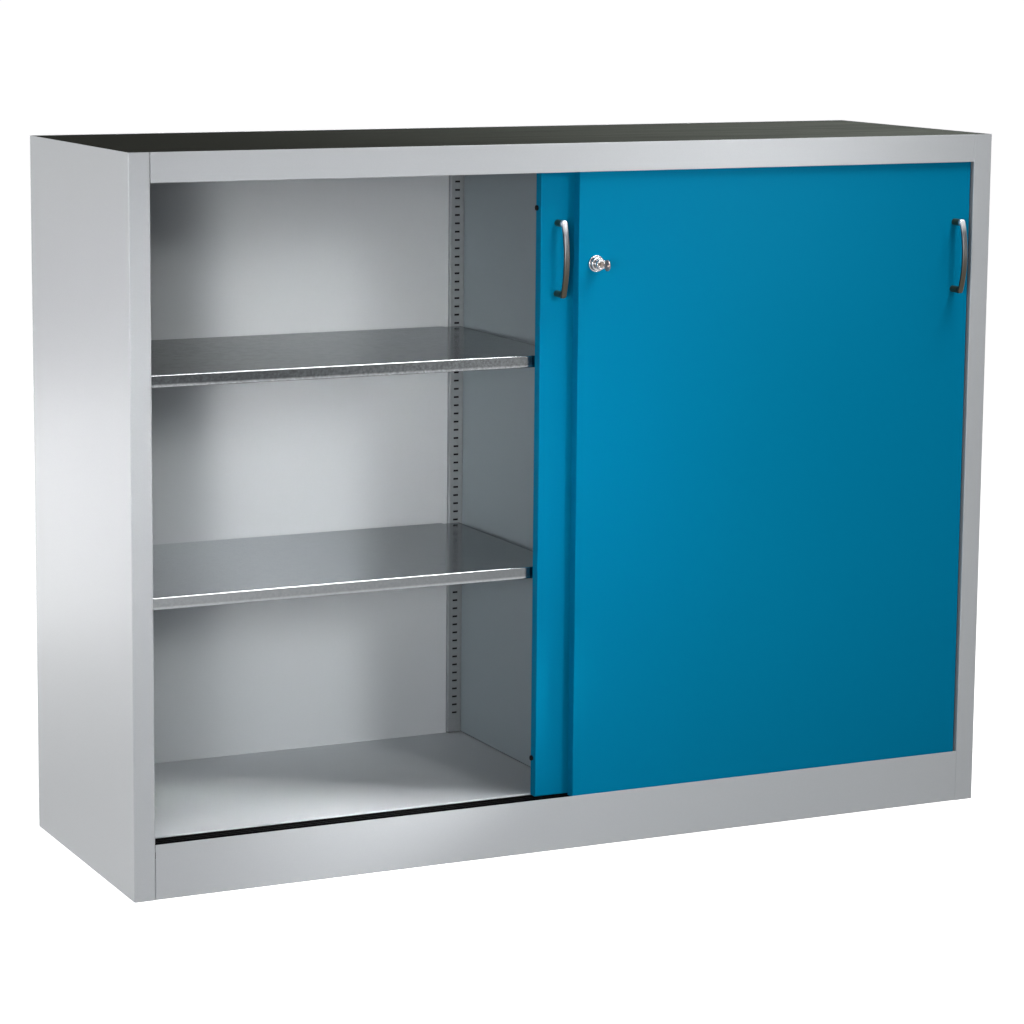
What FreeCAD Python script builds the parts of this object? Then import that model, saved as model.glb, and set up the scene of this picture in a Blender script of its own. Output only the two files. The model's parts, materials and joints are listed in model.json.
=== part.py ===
import FreeCAD, Part
import math
import os

# Sliding door cabinet of folded sheet steel, in millimetres.
# X runs along the front, Y from the front to the back, Z up. The origin is on the floor,
# in the middle of the base: the body's front is at -depth / 2 and its back at +depth / 2.
# The rear door stands open, slid right behind the front door, which is closed.

# ---------------------------------------------------------------- body
width = 1600.0
depth = 500.0
height = 1200.0
body_sheet = 1.0
bend_radius = 1.0  # inside every fold
post_width = 36.0  # front face of a side wall
post_return = 60.0  # fold behind the post that guides the doors' ends
plinth_height = 91.0
plinth_foot = 20.0  # fold under the plinth that stands on the ground
plinth_tab = 15.0  # fold at each end of the plinth, behind the seam
plinth_edge_radius = 0.6
fascia_edge_radius = 0.7
hem_height = 12.0  # doubled edge of the plinth and the fascia
tray_depth = 3.5  # how far the top sheet lies under the rim
seam_gap = 0.4  # open line between the posts and the fascia or plinth
hold_down = 0.5  # assembly clearance between sheets that slide together

# ---------------------------------------------------------------- top mat
mat_thickness = 3.0
mat_corner = 6.0

# ---------------------------------------------------------------- floor, runner and partition
floor_drop = 1.0  # floor under the plinth's upper edge
trough_depth = 22.0  # channel for the bottom guide, under the floor
floor_door_gap = 1.0  # floor behind the rear door
runner_width = 80.0
runner_flange = 20.0
partition_offset = 7.5  # left face of the partition, right of the middle
partition_flange = 16.0
partition_hem = 12.0
partition_clearance = 11.0  # front edge behind the rear door

# ---------------------------------------------------------------- shelf supports
slot_pitch = 15.0
slot_first = 38.5  # lowest slot above the floor
slot_width = 10.0
slot_height = 3.5
strip_width = 28.0
strip_depth = 8.0
strip_top_gap = 50.0  # strip ends this far under the top sheet
front_slot_setback = 28.0  # front slot rows behind the partition's front edge
slot_row_spacing = 20.0  # between the left and right slot rows of the partition

# ---------------------------------------------------------------- shelves
shelf_slots = (24, 48)  # number of the slot above each shelf
shelf_under_slot = 5.5  # shelf top below the middle of that slot
shelf_sheet = 0.9
shelf_lip = 20.5
shelf_hem = 10.0
shelf_end_gap = 3.0
shelf_partition_gap = 8.0
shelf_door_gap = 5.0
shelf_wall_gap = 0.5
notch_clearance = 4.0  # beside each strip
notch_play = 1.0  # in front of each clip
clip_sheet = 1.5
clip_margin = 2.0  # strip beyond each side of a clip
clip_ledge = 15.0
clip_rise = 6.0  # clip above its slot's middle
clip_play = 0.3  # tongue in its slot, all round
clip_hook = 2.5  # tongue behind the slotted face

# ---------------------------------------------------------------- doors
door_thickness = 18.0
door_sheet = 0.8
door_edge_radius = 1.6
door_recess = 5.0  # front door behind the front of the body
door_gap = 10.0  # between the two doors
door_side_gap = 3.5  # closed door to its post
door_overlap = 22.0  # one closed door behind the other
door_top_overlap = 4.0  # door behind the fascia
door_bottom_overlap = 3.0  # door behind the plinth
door_lip = 12.0  # fold round the back of each door
rear_door_reveal = 57.0  # rear door left showing beside the front door
stiffener_width = 40.0
stiffener_clearance = 2.0

# ---------------------------------------------------------------- handles
handle_feet = 118.0
handle_inset = 31.0  # feet to the door's outer edge
foot_radius = 5.8
foot_length = 23.0
bow_width = 10.0
bow_thickness = 6.0
bow_rise = 12.0
bow_overhang = 5.8  # bow past the middle of each foot
bow_bend_radius = 5.0  # outer corner where the bow turns into its feet
bow_edge_radius = 2.6
front_handle_drop = 167.5  # middle under the top of the front door
rear_handle_drop = 149.0  # middle under the top of the rear door
handle_screw_radius = 2.0
handle_screw_head = 4.0
handle_screw_head_height = 2.0
handle_screw_depth = 9.0  # into the foot
handle_hole_end = 1.0  # hole past the screw's tip

# ---------------------------------------------------------------- rollers and top track
roller_radius = 12.0
roller_width = 6.0
roller_recess = 2.0
roller_recess_radius = 6.5
running_fit = 0.05
rolling_gap = 0.3
axle_radius = 3.0
axle_head_radius = 5.5
axle_head = 1.5
hanger_inset = 60.0  # hanger's middle to the door's end
hanger_width = 50.0
hanger_sheet = 2.5
hanger_foot = 11.0
hanger_top_margin = 10.0  # plate above the axle
hanger_screw_spacing = 30.0
hanger_screw_radius = 2.0
hanger_screw_head = 3.4
hanger_screw_head_height = 2.0
hanger_screw_length = 10.0
track_sheet = 2.0
rail_lip = 4.0  # upturned edge of the rail
rail_play = 0.5  # roller between web and lip
rail_front_gap = 1.3  # front web behind the fascia's hem
rail_height = 7.0  # rail's underside above the doors
hanger_rail_gap = 1.0  # hanger plate behind the rail's lip
track_partition_gap = 4.0
track_screw_count = 6
track_screw_radius = 2.5
track_screw_head = 4.5
track_screw_head_height = 3.0
track_screw_margin = 1.0  # head to the plate's rear edge
hanger_headroom = 3.2  # hangers under the screw heads
stop_length = 12.0
stop_height = 18.0

# ---------------------------------------------------------------- bottom guide
guide_base = 2.0
guide_rib = 1.5
guide_door_gap = 4.0  # ribs under the doors
guide_edge_gap = 0.6  # rear edge of the guide under the rear door
shoe_width = 6.0
shoe_play = 0.5
shoe_length = 40.0
shoe_pad_width = 12.0
shoe_pad_height = 3.0

# ---------------------------------------------------------------- door buffers
buffer_radius = 4.5
buffer_gap = 0.3  # buffer of a closed door to its post
buffer_inset = 65.0  # from the door's top and bottom
buffer_back_inset = 4.8  # from the door's back
buffer_edge_radius = 1.0

# ---------------------------------------------------------------- lock and key
lock_inset = 31.5  # from the front door's left edge
lock_drop = 157.0  # under the top of the front door
lock_flange_radius = 14.0
lock_flange = 4.0
lock_collar_radius = 11.8
lock_collar = 7.0
lock_edge_radius = 1.0
lock_groove = 1.2  # width of the ring grooves behind and round the collar
lock_groove_depth = 1.4
lock_mouth_radius = 9.6  # wider mouth of the bore, round the plunger
lock_mouth_depth = 2.0
lock_barrel_radius = 10.0
plunger_radius = 8.25
plunger_edge_radius = 0.8
plunger_stand = 11.0  # plunger in front of the collar
plunger_seat = 9.0  # plunger body inside the door's face
lock_travel = 9.0
bolt_radius = 4.0
bolt_end_inset = 1.5  # bolt's end in front of the door's back
core_radius = 5.0
core_floor = 3.7  # plunger behind the core
core_gap = 0.3
keyway_width = 2.6
keyway_height = 8.6
keyway_end = 5.0  # core behind the keyway
key_play = 0.3
key_end_play = 2.0  # blade's tip to the keyway's end
key_neck = 11.0
key_neck_height = 5.0
key_head_radius = 9.0
key_hole_radius = 2.2
lock_nut_thickness = 4.0
lock_nut_radius = 14.0
barrel_play = 0.3
strike_sheet = 2.5
strike_height = 30.0
bolt_catch = 4.5  # bolt past the strike's front edge when pushed in
strike_foot = 24.0
strike_play = 1.0

# ---------------------------------------------------------------- places that follow from them
front = -depth / 2
back = depth / 2
inner_half = width / 2 - post_width
skin_half = width / 2 - body_sheet
floor_top = plinth_height - floor_drop
tray_top = height - tray_depth
tray_bottom = tray_top - body_sheet
panel_back = back - body_sheet
room_back = panel_back - body_sheet
front_door_face = front + door_recess
front_door_back = front_door_face + door_thickness
rear_door_face = front_door_back + door_gap
rear_door_back = rear_door_face + door_thickness
door_pitch = door_thickness + door_gap
door_bottom = plinth_height - door_bottom_overlap
hanger_top = tray_bottom - track_sheet - track_screw_head_height - hanger_headroom
roller_z = hanger_top - hanger_top_margin
rail_top = roller_z - roller_radius - rolling_gap
rail_bottom = rail_top - track_sheet
door_top = rail_bottom - rail_height
fascia_low = door_top - door_top_overlap
door_width = inner_half - door_side_gap + door_overlap / 2
front_door_right = inner_half - door_side_gap
front_door_left = front_door_right - door_width
rear_door_left = front_door_left - rear_door_reveal
rear_door_right = rear_door_left + door_width
rear_door_closed_left = -inner_half + door_side_gap
door_travel = rear_door_left - rear_door_closed_left
partition_front = rear_door_back + partition_clearance
partition_left = partition_offset
partition_right = partition_offset + body_sheet
shelf_front = rear_door_back + shelf_door_gap
shelf_back = room_back - shelf_wall_gap
strip_face = room_back - strip_depth
strip_bottom = floor_top + body_sheet + bend_radius + hold_down
strip_top = tray_bottom - strip_top_gap
slot_lowest = floor_top + slot_first
slot_count = int((strip_top - slot_lowest) // slot_pitch)
front_slot_y = partition_front + front_slot_setback
front_web = front + 2 * body_sheet + rail_front_gap
rear_web = front_web + door_pitch
rail_channel = roller_width + 2 * rail_play
rail_depth = 2 * track_sheet + rail_channel
track_back = partition_front - track_partition_gap
track_screw_y = track_back - track_screw_margin - track_screw_head
floor_front = rear_door_back + floor_door_gap
guide_floor = floor_top - trough_depth
clip_width = strip_width - 2 * clip_margin
cutter_end = 1.0  # how far a cutting shape runs past what it cuts
pick = 0.1  # an edge this near to a plane lies on it

X_AXIS = FreeCAD.Vector(1, 0, 0)
Y_AXIS = FreeCAD.Vector(0, 1, 0)
Z_AXIS = FreeCAD.Vector(0, 0, 1)


# ---------------------------------------------------------------- shape helpers
def block(x_range, y_range, z_range):
    """A box between two values along each axis."""
    (x0, x1), (y0, y1), (z0, z1) = x_range, y_range, z_range
    return Part.makeBox(x1 - x0, y1 - y0, z1 - z0, FreeCAD.Vector(x0, y0, z0))


def rod(radius, start, length, axis):
    """A round bar from a point along an axis."""
    return Part.makeCylinder(radius, length, FreeCAD.Vector(*start), axis)


def joined(pieces):
    """One solid out of pieces that share faces."""
    whole = pieces[0].fuse(pieces[1:]) if len(pieces) > 1 else pieces[0]
    return whole.removeSplitter()


def rounded(shape, radius, chosen):
    """The shape with a fillet on each edge that chosen picks."""
    return shape.makeFillet(radius, [edge for edge in shape.Edges if chosen(edge)])


def along(edge, axis):
    """Whether a straight edge runs along an axis."""
    if not isinstance(edge.Curve, (Part.Line, Part.LineSegment)):
        return False
    return abs(edge.tangentAt(edge.FirstParameter).dot(axis)) > 0.999


def folded_outline(points, sheet):
    """The closed outline of a folded sheet. points is one face, and the sheet is on its left."""
    count = len(points)
    ways = [math.atan2(points[i + 1][1] - points[i][1], points[i + 1][0] - points[i][0])
            for i in range(count - 1)]
    face, other = [], []
    for i, (u, v) in enumerate(points):
        before = ways[max(i - 1, 0)]
        after = ways[min(i, count - 2)]
        turn = math.remainder(after - before, 2 * math.pi)
        reach = sheet / math.cos(turn / 2)
        across = (before + turn / 2) + math.pi / 2
        far = (u + reach * math.cos(across), v + reach * math.sin(across))
        face_radius = bend_radius + sheet if turn > 0 else bend_radius
        other_radius = bend_radius if turn > 0 else bend_radius + sheet
        if abs(turn) < 1e-6:
            face_radius = other_radius = 0.0
        face.append(((u, v), before, turn, face_radius))
        other.append((far, before, turn, other_radius))
    edges = []
    last = None
    for side, back_way in ((face, False), (other, True)):
        for (u, v), before, turn, radius in reversed(side) if back_way else side:
            setback = radius * math.tan(abs(turn) / 2)
            enter = (u - setback * math.cos(before), v - setback * math.sin(before))
            leave = (u + setback * math.cos(before + turn), v + setback * math.sin(before + turn))
            if back_way:
                enter, leave = leave, enter
            if last is not None:
                edges.append(("line", last, enter))
            if radius > 0:
                inward = before + turn / 2 + math.copysign(math.pi / 2, turn)
                sag = radius / math.cos(turn / 2) - radius
                middle = (u + sag * math.cos(inward), v + sag * math.sin(inward))
                edges.append(("arc", enter, middle, leave))
            last = leave
    edges.append(("line", last, points[0]))
    return edges


def folded(points, sheet, place, extent, axis):
    """A folded sheet: its outline, put into space by place, extruded by extent along axis."""
    edges = []
    for kind, *ends in folded_outline(points, sheet):
        corners = [place(u, v) for u, v in ends]
        curve = Part.LineSegment(*corners) if kind == "line" else Part.Arc(*corners)
        edges.append(curve.toShape())
    outline = Part.Wire(edges)
    return Part.Face(outline).extrude(axis * extent)


def plan(z):
    """Puts a plan outline (x, y) at a height."""
    return lambda x, y: FreeCAD.Vector(x, y, z)


def side_view(x):
    """Puts a side-view outline (y, z) at a place along the front."""
    return lambda y, z: FreeCAD.Vector(x, y, z)


def front_view(y):
    """Puts a front-view outline (x, z) at a depth."""
    return lambda x, z: FreeCAD.Vector(x, y, z)


def mirrored(shape):
    """The shape on the other side of the cabinet's middle."""
    return shape.mirror(FreeCAD.Vector(0, 0, 0), X_AXIS)


def moved(shape, x=0.0, y=0.0, z=0.0):
    """A copy of the shape, shifted."""
    copy = shape.copy()
    copy.translate(FreeCAD.Vector(x, y, z))
    return copy


def save(node, *solids):
    """Writes one node, of one solid or of several."""
    shape = solids[0] if len(solids) == 1 else Part.makeCompound(list(solids))
    shape.exportStep(os.path.join("parts", node + ".step"))
    print(node, len(shape.Solids), "solids", round(shape.Volume / 1000, 1), "cm3")


# ---------------------------------------------------------------- body panels
def side_panel():
    """The left side wall: outer skin, front post with its return, and rear return."""
    points = [
        (-inner_half, back),
        (-width / 2, back),
        (-width / 2, front),
        (-inner_half, front),
        (-inner_half, front + post_return),
    ]
    panel = folded(points, body_sheet, plan(0), height, Z_AXIS)
    tray_space = block(
        (-skin_half, -inner_half + hold_down),
        (front + body_sheet, panel_back),
        (tray_bottom, height + hold_down),
    )
    return panel.cut(tray_space)


def side_slots(y):
    """Slot cutters through any sheet that they cross, one above the other, at a depth."""
    cutters = []
    for number in range(slot_count):
        z = slot_lowest + number * slot_pitch
        cutters.append(block(
            (-body_sheet, 2 * body_sheet),
            (y - slot_width / 2, y + slot_width / 2),
            (z - slot_height / 2, z + slot_height / 2),
        ))
    return cutters


def side_liner():
    """The inner sheet of the left side wall, with its row of shelf slots."""
    left = -inner_half - body_sheet
    sheet = block(
        (left, -inner_half), (front + post_return, room_back), (0, tray_bottom)
    )
    return sheet.cut([moved(slot, x=left) for slot in side_slots(front_slot_y)])


def top_panel():
    """The top tray with the fascia that hides the track."""
    sheet = block((-skin_half, skin_half), (front + body_sheet, panel_back), (tray_bottom, tray_top))
    rear_rim = block((-skin_half, skin_half), (room_back, panel_back), (tray_bottom, height))
    half = inner_half - seam_gap
    fascia = block((-half, half), (front, front + body_sheet), (fascia_low, height))
    fascia = rounded(
        fascia, fascia_edge_radius, lambda e: along(e, X_AXIS) and e.CenterOfMass.y < front + pick
    )
    hem = block(
        (-half, half),
        (front + body_sheet, front + 2 * body_sheet),
        (fascia_low, fascia_low + hem_height),
    )
    panel = joined([sheet, rear_rim, fascia, hem])
    return panel.cut([track_screw_hole(x) for x in track_screw_places()])


def top_mat():
    """The ribbed rubber mat in the tray."""
    edge = skin_half - hold_down
    mat = block(
        (-edge, edge),
        (front + body_sheet + hold_down, room_back - hold_down),
        (tray_top, tray_top + mat_thickness),
    )
    return rounded(mat, mat_corner, lambda e: along(e, Z_AXIS))


def back_panel():
    """The flat back, behind both compartments, between the bends of the side walls."""
    edge = skin_half - bend_radius - hold_down
    return block((-edge, edge), (room_back, panel_back), (0, tray_bottom))


def floor_panel():
    """The floor, folded down in front into the trough of the bottom guide."""
    points = [
        (room_back, floor_top),
        (floor_front, floor_top),
        (floor_front, guide_floor),
        (front + body_sheet, guide_floor),
    ]
    return folded(points, body_sheet, side_view(-inner_half), 2 * inner_half, X_AXIS)


def plinth():
    """The front plinth with its foot, its doubled upper edge and a tab at each end."""
    half = inner_half - seam_gap
    points = [(front, plinth_height), (front, 0), (front + plinth_foot, 0)]
    plate = folded(points, body_sheet, side_view(-half), 2 * half, X_AXIS)
    hem = block(
        (-half, half),
        (front + body_sheet, front + 2 * body_sheet),
        (plinth_height - hem_height, plinth_height),
    )
    tabs = []
    tab_top = guide_floor - body_sheet - hold_down
    for left in (-half, half - body_sheet):
        tabs.append(block(
            (left, left + body_sheet),
            (front + body_sheet, front + plinth_tab),
            (body_sheet + bend_radius, tab_top),
        ))
    whole = joined([plate, hem] + tabs)
    return rounded(
        whole,
        plinth_edge_radius,
        lambda e: along(e, X_AXIS) and e.CenterOfMass.z > plinth_height - pick,
    )


def centre_runner():
    """The hat section under the floor that carries the partition."""
    half = runner_width / 2
    wide = half + runner_flange
    flange_face = floor_top - 2 * body_sheet
    start = floor_front + body_sheet + bend_radius + hold_down
    points = [
        (-wide, flange_face),
        (-half, flange_face),
        (-half, 0),
        (half, 0),
        (half, flange_face),
        (wide, flange_face),
    ]
    return folded(points, body_sheet, front_view(start), room_back - start, Y_AXIS)


def partition():
    """The wall between the two compartments, with a slot row for each of them."""
    wide = partition_left + partition_flange
    points = [
        (wide, tray_bottom),
        (partition_left, tray_bottom),
        (partition_left, floor_top),
        (wide, floor_top),
    ]
    wall = folded(
        points, body_sheet, front_view(partition_front), room_back - partition_front, Y_AXIS
    )
    hem = block(
        (partition_right, partition_right + body_sheet),
        (partition_front, partition_front + partition_hem),
        (floor_top + body_sheet + bend_radius, tray_bottom - body_sheet - bend_radius),
    )
    cutters = []
    for y in (front_slot_y, front_slot_y + slot_row_spacing):
        cutters += [moved(slot, x=partition_left) for slot in side_slots(y)]
    return joined([wall, hem]).cut(cutters)


# ---------------------------------------------------------------- shelf supports and shelves
def slotted_strip(left):
    """One upright strip in front of the back panel, with its shelf slots."""
    right = left + strip_width
    points = [(left, room_back), (left, strip_face), (right, strip_face), (right, room_back)]
    strip = folded(points, body_sheet, plan(strip_bottom), strip_top - strip_bottom, Z_AXIS)
    middle = left + strip_width / 2
    cutters = []
    for number in range(slot_count):
        z = slot_lowest + number * slot_pitch
        cutters.append(block(
            (middle - slot_width / 2, middle + slot_width / 2),
            (strip_face - body_sheet, strip_face + 2 * body_sheet),
            (z - slot_height / 2, z + slot_height / 2),
        ))
    return strip.cut(cutters)


def strip_places():
    """Left edges of the four strips, from left to right."""
    return (
        -inner_half,
        partition_left - strip_width,
        partition_right,
        inner_half - strip_width,
    )


def compartments():
    """Each compartment as its name, its shelves' ends and its walls' slot rows (x, y)."""
    left = (-inner_half + shelf_end_gap, partition_left - shelf_partition_gap)
    right = (partition_right + shelf_partition_gap, inner_half - shelf_end_gap)
    left_rows = ((-inner_half, front_slot_y), (partition_left, front_slot_y))
    right_rows = ((partition_right, front_slot_y + slot_row_spacing), (inner_half, front_slot_y))
    return (("left", left, left_rows), ("right", right, right_rows))


def shelf_top(number):
    """Height of a shelf that hangs under a slot."""
    return slot_lowest + number * slot_pitch - shelf_under_slot


def shelf(ends, top):
    """One galvanised shelf: a pan with folded edges, notched round the strips."""
    left, right = ends
    low = top - shelf_lip
    points = [
        (shelf_back, low),
        (shelf_back, top),
        (shelf_front, top),
        (shelf_front, low),
        (shelf_front + shelf_hem, low),
    ]
    pan = folded(points, shelf_sheet, side_view(left), right - left, X_AXIS)
    notch_depth = room_back - strip_face + clip_sheet + notch_play
    notch_front = room_back - notch_depth
    cheek = (shelf_front + shelf_sheet, notch_front)
    inner = (low, top - shelf_sheet / 2)
    cheeks = [
        block((left, left + shelf_sheet), cheek, inner),
        block((right - shelf_sheet, right), cheek, inner),
    ]
    notch_width = strip_width + notch_clearance
    tall = (low - cutter_end, top + cutter_end)
    notches = [
        block((left - cutter_end, left + notch_width), (notch_front, back), tall),
        block((right - notch_width, right + cutter_end), (notch_front, back), tall),
    ]
    return joined([pan] + cheeks).cut(notches)


def clip(slot_z, ledge_z):
    """One shelf clip, hooked into a face at y = 0 and holding a ledge out towards -y."""
    plate = block(
        (-clip_width / 2, clip_width / 2), (-clip_sheet, 0), (ledge_z, slot_z + clip_rise)
    )
    ledge = block(
        (-clip_width / 2, clip_width / 2), (-clip_ledge, 0), (ledge_z, ledge_z + clip_sheet)
    )
    half_tongue = slot_width / 2 - clip_play
    tongue = block(
        (-half_tongue, half_tongue),
        (-clip_sheet, body_sheet + clip_hook),
        (slot_z - slot_height / 2 + clip_play, slot_z + slot_height / 2 - clip_play),
    )
    return joined([plate, ledge, tongue])


def turned(shape, degrees, x, y):
    """A copy of the shape, turned about Z and put at a place in plan."""
    copy = shape.copy()
    copy.rotate(FreeCAD.Vector(0, 0, 0), Z_AXIS, degrees)
    copy.translate(FreeCAD.Vector(x, y, 0))
    return copy


def clips_of(rows, strips):
    """The four clips under each shelf of a compartment."""
    pieces = []
    for number in shelf_slots:
        ledge_z = shelf_top(number) - shelf_lip - clip_sheet
        slot_z = slot_lowest + (number - 1) * slot_pitch
        piece = clip(slot_z, ledge_z)
        for left in strips:
            pieces.append(turned(piece, 0, left + strip_width / 2, strip_face))
        pieces.append(turned(piece, 90, *rows[0]))
        pieces.append(turned(piece, -90, *rows[1]))
    return pieces


# ---------------------------------------------------------------- top track and bottom guide
def track_screw_places():
    """Where the track's screws stand along the front."""
    reach = inner_half - hanger_inset
    return [-reach + 2 * reach * i / (track_screw_count - 1) for i in range(track_screw_count)]


def track_screw_hole(x):
    """The clearance hole of one track screw, through track and top sheet."""
    start = (x, track_screw_y, tray_bottom - track_sheet - cutter_end)
    length = track_sheet + body_sheet + 2 * cutter_end
    return rod(track_screw_radius + running_fit, start, length, Z_AXIS)


def rail(web):
    """One rail in side view: web, running flange and upturned lip, as three blocks."""
    half = inner_half - hold_down
    span = (-half, half)
    rail_back = web + rail_depth
    hanging = block(span, (web, web + track_sheet), (rail_bottom, tray_bottom))
    flange = block(span, (web, rail_back), (rail_bottom, rail_top))
    lip = block(span, (rail_back - track_sheet, rail_back), (rail_bottom, rail_top + rail_lip))
    return [hanging, flange, lip]


def top_track():
    """The double track under the top sheet, one rail for each door."""
    half = inner_half - hold_down
    plate = block(
        (-half, half), (front_web, track_back), (tray_bottom - track_sheet, tray_bottom)
    )
    whole = joined([plate] + rail(front_web) + rail(rear_web))
    return whole.cut([track_screw_hole(x) for x in track_screw_places()])


def track_screws():
    """The screws that hold the track to the top sheet."""
    head_z = tray_bottom - track_sheet - track_screw_head_height
    screws = []
    for x in track_screw_places():
        head = rod(track_screw_head, (x, track_screw_y, head_z), track_screw_head_height, Z_AXIS)
        shank = rod(track_screw_radius, (x, track_screw_y, head_z), tray_top - head_z, Z_AXIS)
        screws.append(joined([head, shank]))
    return screws


def track_stop(left, web):
    """A block in a rail that ends the roller's run."""
    y = web + track_sheet
    return block(
        (left, left + stop_length),
        (y, y + rail_channel),
        (rail_top, rail_top + stop_height),
    )


def track_stops():
    """One stop for each door at the end of its opening travel."""
    front_roller = front_door_left + hanger_inset - door_travel - roller_radius
    rear_roller = rear_door_right - hanger_inset + roller_radius
    return [
        track_stop(front_roller - rolling_gap - stop_length, front_web),
        track_stop(rear_roller + rolling_gap, rear_web),
    ]


def door_middle(face):
    """Middle of a door's thickness."""
    return face + door_thickness / 2


def bottom_guide():
    """The black plastic guide: a groove under each door and an edge in front of the floor."""
    half = inner_half - hold_down
    base_front = front + 2 * body_sheet + hold_down
    base_back = floor_front - bend_radius - hold_down
    base = block((-half, half), (base_front, base_back), (guide_floor, guide_floor + guide_base))
    pieces = [base]
    groove = shoe_width / 2 + shoe_play
    rib_top = door_bottom - guide_door_gap
    for face in (front_door_face, rear_door_face):
        middle = door_middle(face)
        for low in (middle - groove - guide_rib, middle + groove):
            pieces.append(block((-half, half), (low, low + guide_rib), (guide_floor, rib_top)))
    edge_top = door_bottom - guide_edge_gap
    pieces.append(block((-half, half), (base_back - guide_rib, base_back), (guide_floor, edge_top)))
    return joined(pieces)


# ---------------------------------------------------------------- doors
def door_skin(left, face):
    """The door's outer pan: front face, four edges and a lip round the back."""
    right = left + door_width
    door_back = face + door_thickness
    outer = block((left, right), (face, door_back), (door_bottom, door_top))
    outer = rounded(outer, door_edge_radius, lambda e: e.CenterOfMass.y < face + pick)
    inner = block(
        (left + door_sheet, right - door_sheet),
        (face + door_sheet, door_back - door_sheet),
        (door_bottom + door_sheet, door_top - door_sheet),
    )
    inner_radius = door_edge_radius - door_sheet
    inner = rounded(inner, inner_radius, lambda e: e.CenterOfMass.y < face + door_sheet + pick)
    window = block(
        (left + door_lip, right - door_lip),
        (door_back - 2 * door_sheet, door_back + cutter_end),
        (door_bottom + door_lip, door_top - door_lip),
    )
    return outer.cut([inner, window])


def door_liner(left, face):
    """The door's flat inner sheet, behind its lips."""
    right = left + door_width
    inside = door_sheet + hold_down
    y = face + door_thickness - 2 * door_sheet
    return block(
        (left + inside, right - inside), (y, y + door_sheet), (door_bottom + inside, door_top - inside)
    )


def door_stiffeners(left, face):
    """Two upright channels between the door's skin and its liner."""
    y_skin = face + door_sheet
    y_liner = face + door_thickness - 2 * door_sheet
    inside = door_sheet + stiffener_clearance
    pieces = []
    for share in (1 / 3, 2 / 3):
        middle = left + door_width * share
        low, high = middle - stiffener_width / 2, middle + stiffener_width / 2
        points = [(low, y_liner), (low, y_skin), (high, y_skin), (high, y_liner)]
        start = door_bottom + inside
        length = door_top - door_bottom - 2 * inside
        pieces.append(folded(points, door_sheet, plan(start), length, Z_AXIS))
    return pieces


def handle_screw_hole(x, face, z):
    """The hole through the skin and into a handle's foot."""
    depth_in_foot = handle_screw_depth + handle_hole_end
    length = depth_in_foot + door_sheet + cutter_end
    return rod(handle_screw_radius + running_fit, (x, face - depth_in_foot, z), length, Y_AXIS)


def foot_heights(height_of_middle):
    """Heights of a handle's two feet."""
    return (height_of_middle - handle_feet / 2, height_of_middle + handle_feet / 2)


def handle(x, face, middle):
    """A bow handle: an arched flat bar on two round feet."""
    half = handle_feet / 2 + bow_overhang
    outer_radius = (half ** 2 + bow_rise ** 2) / (2 * bow_rise)
    inner_radius = outer_radius - bow_thickness
    bow_out = face - foot_length - bow_rise - bow_thickness / 2
    centre = (x - bow_width / 2, bow_out + outer_radius, middle)
    disc = rod(outer_radius, centre, bow_width, X_AXIS)
    hole_start = (centre[0] - cutter_end, centre[1], centre[2])
    hole = rod(inner_radius, hole_start, bow_width + 2 * cutter_end, X_AXIS)
    slice_of_ring = block(
        (x - bow_width, x + bow_width),
        (bow_out - cutter_end, face - foot_length + bow_thickness),
        (middle - half, middle + half),
    )
    bow = disc.cut(hole).common(slice_of_ring)
    outer_end = centre[1] - math.sqrt(outer_radius ** 2 - half ** 2)
    bow = rounded(
        bow, bow_bend_radius, lambda e: along(e, X_AXIS) and e.CenterOfMass.y < outer_end + pick
    )
    bow = rounded(bow, bow_edge_radius, lambda e: abs(abs(e.CenterOfMass.x - x) - bow_width / 2) < pick)
    ring = inner_radius + bow_thickness / 2
    foot_end = centre[1] - math.sqrt(ring ** 2 - (handle_feet / 2) ** 2)
    pieces = [bow]
    for z in foot_heights(middle):
        pieces.append(rod(foot_radius, (x, foot_end, z), face - foot_end, Y_AXIS))
    return joined(pieces).cut([handle_screw_hole(x, face, z) for z in foot_heights(middle)])


def handle_screws(x, face, middle):
    """The screws that hold a handle, with their heads inside the door."""
    screws = []
    for z in foot_heights(middle):
        shank_start = (x, face - handle_screw_depth, z)
        shank = rod(handle_screw_radius, shank_start, handle_screw_depth + door_sheet, Y_AXIS)
        head_start = (x, face + door_sheet, z)
        head = rod(handle_screw_head, head_start, handle_screw_head_height, Y_AXIS)
        screws.append(joined([shank, head]))
    return screws


def hanger_places(left):
    """Middles of a door's two hangers."""
    return (left + hanger_inset, left + door_width - hanger_inset)


def hanger_plate(web):
    """Front face of the upright plates behind a rail."""
    return web + rail_depth + hanger_rail_gap


def hanger_screw_places(x, web):
    """Middles of the two screws in a hanger's foot."""
    y = hanger_plate(web) - hanger_foot / 3
    return [(x - hanger_screw_spacing / 2, y), (x + hanger_screw_spacing / 2, y)]


def hanger_screw_hole(x, y):
    """The clearance hole of one hanger screw, through the foot and the door's top edge."""
    start = (x, y, door_top - hanger_screw_length)
    length = hanger_screw_length + hanger_sheet + cutter_end
    return rod(hanger_screw_radius + running_fit, start, length, Z_AXIS)


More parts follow.
